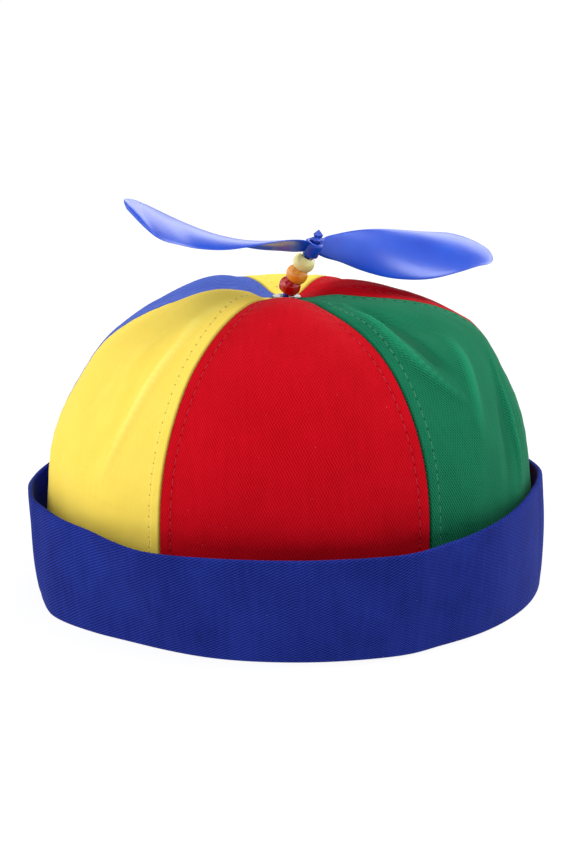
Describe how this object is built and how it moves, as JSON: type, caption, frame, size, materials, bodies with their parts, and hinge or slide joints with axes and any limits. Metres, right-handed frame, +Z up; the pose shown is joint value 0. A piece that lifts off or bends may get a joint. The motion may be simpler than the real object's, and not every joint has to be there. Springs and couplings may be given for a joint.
{
  "type": "propeller beanie",
  "caption": "Soft round gored cap with a turned-up cuff, and on its crown a leaning stem with loose beads and a propeller that spins.",
  "frame": {"origin": "the middle of the whole outline's box, at the foot of the cuff, which rests on the surface", "axes": "+Z up through the crown, -Y towards the front, +X towards the right as seen from the front"},
  "size_m": [0.1974, 0.2084, 0.151],
  "materials": {
    "red_cloth": "matte cotton twill",
    "green_cloth": "matte cotton twill",
    "yellow_cloth": "matte cotton twill",
    "blue_cloth": "matte cotton twill",
    "cuff_cloth": "matte cotton twill",
    "eyelet_metal": "bright nickel plate",
    "blue_plastic": "glossy, slightly translucent",
    "red_plastic": "glossy",
    "orange_plastic": "glossy",
    "yellow_plastic": "glossy, slightly translucent"
  },
  "bodies": {
    "root": {"crown_red_front": "red_cloth", "crown_green_right_front": "green_cloth", "crown_red_right_back": "red_cloth", "crown_yellow_back": "yellow_cloth", "crown_blue_left_back": "blue_cloth", "crown_yellow_left_front": "yellow_cloth", "cuff": "cuff_cloth", "eyelet": "eyelet_metal", "stem": "blue_plastic"},
    "propeller_body": {"propeller": "blue_plastic"},
    "bead_red_body": {"bead_red": "red_plastic"},
    "bead_orange_body": {"bead_orange": "orange_plastic"},
    "bead_yellow_body": {"bead_yellow": "yellow_plastic"}
  },
  "joints": [
    {"name": "propeller_spin", "type": "hinge", "parent": "root", "child": "propeller_body", "pos_m": [0.00945, -0.00473, 0.12792], "axis": [0.3186, -0.2149, 0.9232], "continuous": true},
    {"name": "bead_red_spin", "type": "hinge", "parent": "root", "child": "bead_red_body", "pos_m": [0.00099, -0.00198, 0.11324], "axis": [0.4927, -0.1601, 0.8554], "continuous": true},
    {"name": "bead_orange_spin", "type": "hinge", "parent": "root", "child": "bead_orange_body", "pos_m": [0.00361, -0.00283, 0.11778], "axis": [0.4927, -0.1601, 0.8554], "continuous": true},
    {"name": "bead_yellow_spin", "type": "hinge", "parent": "root", "child": "bead_yellow_body", "pos_m": [0.00622, -0.00368, 0.12231], "axis": [0.4927, -0.1601, 0.8554], "continuous": true}
  ]
}
